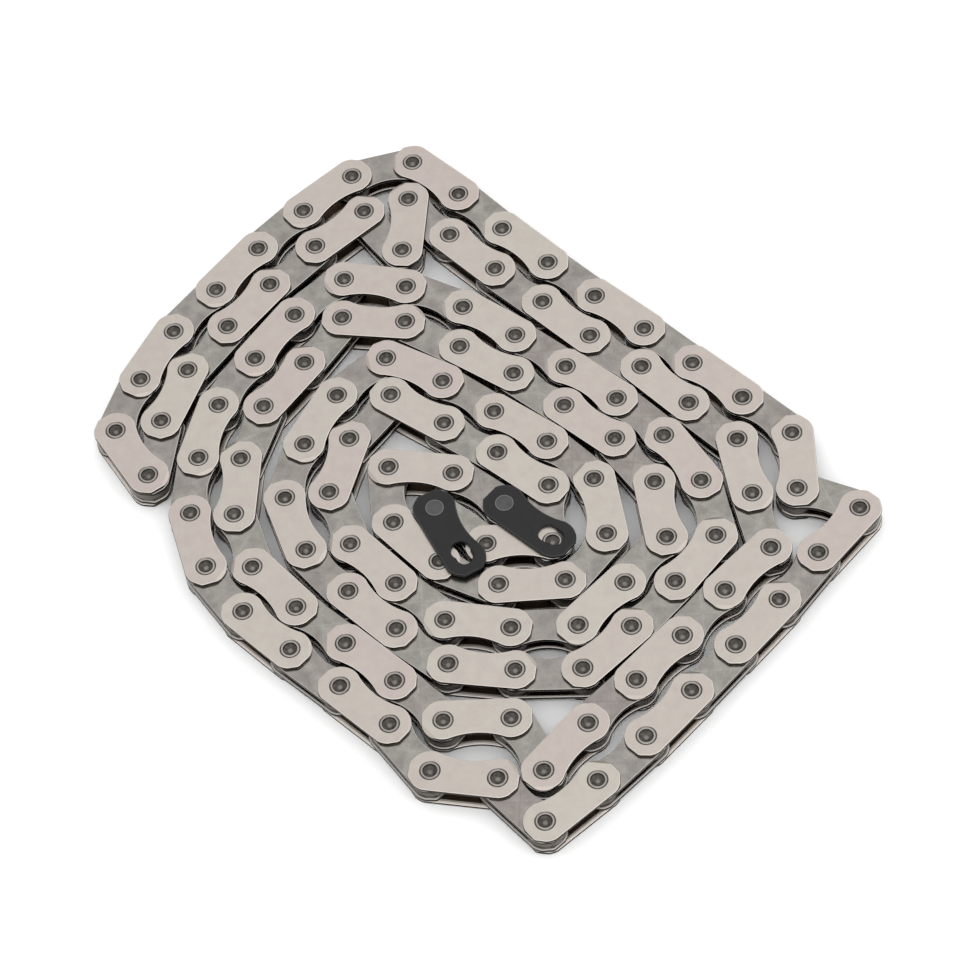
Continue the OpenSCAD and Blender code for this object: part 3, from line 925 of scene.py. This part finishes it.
def metal_finish(name, face, rim, wall, inside, rough, mottle, sizes=None):
    """Plated or tumbled steel: smudges, a rubbed rim with a painted highlight, a cut edge and an inside with
    oil, both darkened with painted shade, and a painted lit strip along the inside's edge.

    With sizes, the face gets an inner plate's painted facet shade.
    """
    finish = Finish(name)
    # The painted lit strip is less metallic than the rest of the plate.
    finish.set("Metallic", finish.span(finish.attribute("painted_lit"), 1.0, 0.0))
    smudge = finish.noise(*SMUDGE)
    speck = finish.noise(*SPECK)
    dull = tinted(face, 1 - mottle, PATCH_WARMTH[0])
    bright = tinted(face, 1 + mottle, PATCH_WARMTH[1])
    base = finish.blend(finish.span(smudge, 0.0, 1.0, *NOISE_SPAN), dull, bright)
    base = finish.scaled(finish.span(speck, 1 - mottle / 3, 1 + mottle / 3, *NOISE_SPAN), base)
    tint = finish.blend(
        finish.attribute("tone"), tinted(WHITE, 1 - PLATE_LEVEL, PLATE_WARMTH),
        tinted(WHITE, 1 + PLATE_LEVEL, -PLATE_WARMTH),
    )
    base = finish.blend(1.0, base, tint, "MULTIPLY")
    if sizes:
        base = painted_facet_shade(finish, sizes, base)
    # The inside's oil and painted shade, the rim's colour with its painted highlight and lit strip, and the
    # walls' painted shade.
    for layer, colour_in in (("inside", inside), ("rim", rim), ("wall", wall)):
        base = finish.blend(finish.attribute(layer), base, colour_in)
    finish.set("Base Color", base)
    finish.set("Roughness", finish.span(smudge, rough - ROUGH_SPREAD, rough + ROUGH_SPREAD, *NOISE_SPAN))
    finish.relief(speck, *METAL_RELIEF)
    return finish.material


def pin_finish(name, colours):
    """Riveted steel with painted shade in its recess, punch ring and edge, which is rougher and more cloudy
    than the ring round it.
    """
    finish = Finish(name)
    finish.set("Metallic", 1.0)
    cloud = finish.noise(*PIN_CLOUD)
    recess = finish.patches(cloud, RECESS_SPAN, colours.recess, RECESS_LEVELS)
    ring = finish.patches(cloud, NOISE_SPAN, colours.pin, RING_LEVELS)
    ring = finish.scaled(finish.span(finish.attribute("tone"), *PIN_LEVELS), ring)
    # How much painted shade each part of the pin takes.
    shade = finish.attribute("shade")
    finish.set("Base Color", finish.blend(shade, ring, recess))
    finish.set("Roughness", finish.reckon("MULTIPLY_ADD", shade, *PIN_ROUGH))
    finish.relief(cloud, *PIN_RELIEF)
    return finish.material


def coated_finish(name, face, rim, wall):
    """A thin dark coating, rubbed at its rims."""
    finish = Finish(name)
    finish.set("Metallic", 0.0)
    finish.set("Specular IOR Level", COAT_SHEEN)
    cloud = finish.noise(*COAT_CLOUD)
    base = finish.patches(cloud, NOISE_SPAN, face, COAT_LEVELS)
    for layer, colour_in in (("rim", rim), ("wall", wall)):
        base = finish.blend(finish.attribute(layer), base, colour_in)
    finish.set("Base Color", base)
    finish.set("Roughness", finish.span(cloud, *COAT_ROUGH))
    finish.relief(finish.noise(*COAT_GRAIN), *COAT_RELIEF)
    return finish.material


class CHAIN_OT_outer_plates(bpy.types.Operator):
    """Makes the outer plates of every link"""
    bl_idname = "chain.outer_plates"
    bl_label = "Outer Plates"

    def execute(self, context):
        shape = outer_plate_shape(context.scene.chain_sizes)
        colours = context.scene.chain_colours
        finish = metal_finish(
            "warm_nickel", colours.nickel, colours.nickel_rim_and_highlight, colours.punched_and_shaded, colours.oiled_and_shaded,
            rough=0.34, mottle=0.045,
        )
        lay_plates("outer_plate", shape, finish, inner=False)
        return {"FINISHED"}


class CHAIN_OT_inner_plates(bpy.types.Operator):
    """Makes the inner plates of every link, with the collars that carry the rollers"""
    bl_idname = "chain.inner_plates"
    bl_label = "Inner Plates"

    def execute(self, context):
        sizes = context.scene.chain_sizes
        colours = context.scene.chain_colours
        shape = inner_plate_shape(sizes)
        finish = metal_finish(
            "tumbled_steel", colours.steel, colours.steel_rim_and_lit_strip, colours.punched_and_shaded, colours.oiled_and_shaded,
            rough=0.24, mottle=0.16, sizes=sizes,
        )
        lay_plates("inner_plate", shape, finish, inner=True)
        return {"FINISHED"}


class CHAIN_OT_pins(bpy.types.Operator):
    """Makes the riveted pins"""
    bl_idname = "chain.pins"
    bl_label = "Pins"

    def execute(self, context):
        shape = pin_shape(context.scene.chain_sizes)
        finish = pin_finish("riveted_steel", context.scene.chain_colours)
        for node in nodes_of("pin"):
            spots = [(middle_of(solid), 0.0, False) for solid in solids_of(node)]
            stamp(node, shape, spots, finish)
        return {"FINISHED"}


class CHAIN_OT_rollers(bpy.types.Operator):
    """Makes the rollers"""
    bl_idname = "chain.rollers"
    bl_label = "Rollers"

    def execute(self, context):
        colours = context.scene.chain_colours
        shape = roller_shape(context.scene.chain_sizes)
        finish = metal_finish(
            "roller_steel", colours.roller, colours.roller, colours.roller, colours.roller,
            rough=0.3, mottle=0.05,
        )
        lift = Vector((0, 0, ROLLER_BOX[0].z))
        for node in nodes_of("roller"):
            spots = [(middle_of(solid) + lift, 0.0, False) for solid in solids_of(node)]
            stamp(node, shape, spots, finish)
        return {"FINISHED"}


class CHAIN_OT_quick_link(bpy.types.Operator):
    """Makes the plates and pins of both halves of the quick link"""
    bl_idname = "chain.quick_link"
    bl_label = "Quick Link"

    def execute(self, context):
        sizes = context.scene.chain_sizes
        quick = context.scene.quick_link_sizes
        colours = context.scene.chain_colours
        plate = quick_plate_shape(sizes, quick)
        pin = quick_pin_shape(sizes, quick)
        coating = coated_finish("dark_coating", colours.coating, colours.coating_rim, colours.coating)
        steel = coated_finish("blackened_steel", colours.quick_pin, colours.quick_ring, colours.quick_pin)
        for node in nodes_of("quick_link_plate"):
            pin_node = node.replace("plate", "pin")
            low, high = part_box(pin_node)
            place = Vector(((low.x + high.x) / 2, (low.y + high.y) / 2, QUICK_BOX[0].z))
            heading = quick_heading(node, place, sizes)
            stamp(node, plate, [(place, heading, False)], coating)
            stamp(pin_node, pin, [(place, 0.0, False)], steel)
        return {"FINISHED"}


def quick_heading(node, place, sizes):
    """Heading of a quick link's plate, from its pin to its keyhole."""
    points = [point.xy - place.xy for solid in solids_of(node) for point in solid]
    far = [point for point in points if point.length > sizes.pitch]
    middle = sum(far, Vector((0, 0))) / len(far)
    return math.atan2(middle.y, middle.x)


class CHAIN_OT_studio(bpy.types.Operator):
    """Sets the floor, the light and the camera"""
    bl_idname = "chain.studio"
    bl_label = "Studio"

    def execute(self, context):
        studio = context.scene.studio
        set_world(studio)
        set_floor(studio)
        set_key_light(studio)
        set_camera(studio)
        context.scene.view_settings.view_transform = "Standard"
        return {"FINISHED"}


def set_world(studio):
    """White in diffuse light. What the eye and metal see is brighter to the right, in front and overhead."""
    world = bpy.data.worlds.new("surround")
    bpy.context.scene.world = world
    world.use_nodes = True
    wiring = Tree(world.node_tree)
    plain = wiring.tree.nodes["Background"]
    plain.inputs["Color"].default_value = (*WHITE, 1)
    plain.inputs["Strength"].default_value = studio.ambient
    seen = wiring.add("ShaderNodeBackground")
    seen.inputs["Color"].default_value = (*WHITE, 1)
    direction = wiring.add("ShaderNodeTexCoord").outputs["Generated"]
    slant = wiring.add("ShaderNodeVectorMath", operation="DOT_PRODUCT")
    wiring.feed(direction, slant.inputs[0])
    slant.inputs[1].default_value = SKY_SLANT
    place = wiring.add("ShaderNodeSeparateXYZ")
    wiring.feed(direction, place.inputs[0])
    level = wiring.reckon("ADD", slant.outputs["Value"], SKY_LEVEL)
    haze = wiring.span(place.outputs["Z"], SKY_LOW, 1.0, *SKY_HAZE)
    wiring.feed(wiring.reckon("MULTIPLY", level, haze), seen.inputs["Strength"])
    paths = wiring.add("ShaderNodeLightPath").outputs
    direct = wiring.reckon("MAXIMUM", paths["Is Camera Ray"], paths["Is Glossy Ray"])
    direct = wiring.reckon("MAXIMUM", direct, paths["Is Transmission Ray"])
    mix = wiring.add("ShaderNodeMixShader")
    for value, socket in zip((direct, plain.outputs[0], seen.outputs[0]), mix.inputs):
        wiring.feed(value, socket)
    wiring.feed(mix.outputs[0], wiring.tree.nodes["World Output"].inputs["Surface"])


def set_floor(studio):
    """A white floor under the coil, which keeps its shadow."""
    bm = bmesh.new()
    bmesh.ops.create_circle(bm, cap_ends=True, radius=FLOOR_R, segments=FLOOR_SEGMENTS)
    bmesh.ops.translate(bm, verts=bm.verts, vec=(0, 0, -FLOOR_GAP))
    mesh = bpy.data.meshes.new("floor")
    bm.to_mesh(mesh)
    bm.free()
    floor = bpy.data.objects.new("floor", mesh)
    bpy.context.scene.collection.objects.link(floor)
    material = bpy.data.materials.new("floor_white")
    material.use_nodes = True
    surface = material.node_tree.nodes["Principled BSDF"]
    surface.inputs["Base Color"].default_value = (FLOOR_WHITE, FLOOR_WHITE, FLOOR_WHITE, 1)
    surface.inputs["Roughness"].default_value = 1.0
    surface.inputs["Specular IOR Level"].default_value = 0.0
    mesh.materials.append(material)


def set_key_light(studio):
    """A softbox in front, behind the camera and a little higher, aimed at the coil."""
    data = bpy.data.lights.new("softbox", "AREA")
    data.shape = "RECTANGLE"
    data.size, data.size_y = SOFTBOX_SIZE
    data.energy = studio.key
    light = bpy.data.objects.new("softbox", data)
    light.location = SOFTBOX_PLACE
    aim = Vector() - light.location
    light.rotation_euler = aim.to_track_quat("-Z", "Y").to_euler()
    bpy.context.scene.collection.objects.link(light)


def set_camera(studio):
    """The photograph's view: its heading, height, distance and slight roll."""
    forward = Vector((
        math.cos(studio.elevation) * math.cos(studio.azimuth),
        math.cos(studio.elevation) * math.sin(studio.azimuth),
        -math.sin(studio.elevation),
    ))
    data = bpy.data.cameras.new("camera")
    data.sensor_fit = "HORIZONTAL"
    data.sensor_width = studio.sensor
    data.lens = studio.lens
    data.clip_start = 0.01
    camera = bpy.data.objects.new("camera", data)
    level = forward.to_track_quat("-Z", "Y").to_matrix().to_4x4()
    roll = Matrix.Rotation(-studio.roll, 4, "Z")
    camera.matrix_world = Matrix.Translation(Vector(AIM) - studio.distance * forward) @ level @ roll
    bpy.context.scene.collection.objects.link(camera)
    bpy.context.scene.camera = camera


class CHAIN_PT_pieces(bpy.types.Panel):
    """Lists the chain's pieces and the studio"""
    bl_idname = "CHAIN_PT_pieces"
    bl_label = "Coiled Chain"
    bl_space_type = "VIEW_3D"
    bl_region_type = "UI"
    bl_category = "Chain"

    def draw(self, context):
        for operator in OPERATORS:
            self.layout.operator(operator.bl_idname)
        for group in ("chain_sizes", "quick_link_sizes", "chain_colours", "studio"):
            settings = getattr(context.scene, group)
            box = self.layout.box()
            for name in settings.__annotations__:
                box.prop(settings, name)


GROUPS = {
    "chain_sizes": ChainSizes,
    "quick_link_sizes": QuickLinkSizes,
    "chain_colours": ChainColours,
    "studio": StudioSettings,
}
OPERATORS = (
    CHAIN_OT_outer_plates, CHAIN_OT_inner_plates, CHAIN_OT_pins, CHAIN_OT_rollers,
    CHAIN_OT_quick_link, CHAIN_OT_studio,
)


def register():
    """Registers the settings, the operators and the panel."""
    for name, group in GROUPS.items():
        bpy.utils.register_class(group)
        setattr(bpy.types.Scene, name, PointerProperty(type=group))
    for operator in OPERATORS:
        bpy.utils.register_class(operator)
    bpy.utils.register_class(CHAIN_PT_pieces)


def unregister():
    """Takes back what register made."""
    bpy.utils.unregister_class(CHAIN_PT_pieces)
    for operator in reversed(OPERATORS):
        bpy.utils.unregister_class(operator)
    for name, group in GROUPS.items():
        delattr(bpy.types.Scene, name)
        bpy.utils.unregister_class(group)


def main():
    """Makes every piece and the stage."""
    register()
    bpy.ops.chain.outer_plates()
    bpy.ops.chain.inner_plates()
    bpy.ops.chain.pins()
    bpy.ops.chain.rollers()
    bpy.ops.chain.quick_link()
    bpy.ops.chain.studio()


if __name__ == "__main__":
    main()
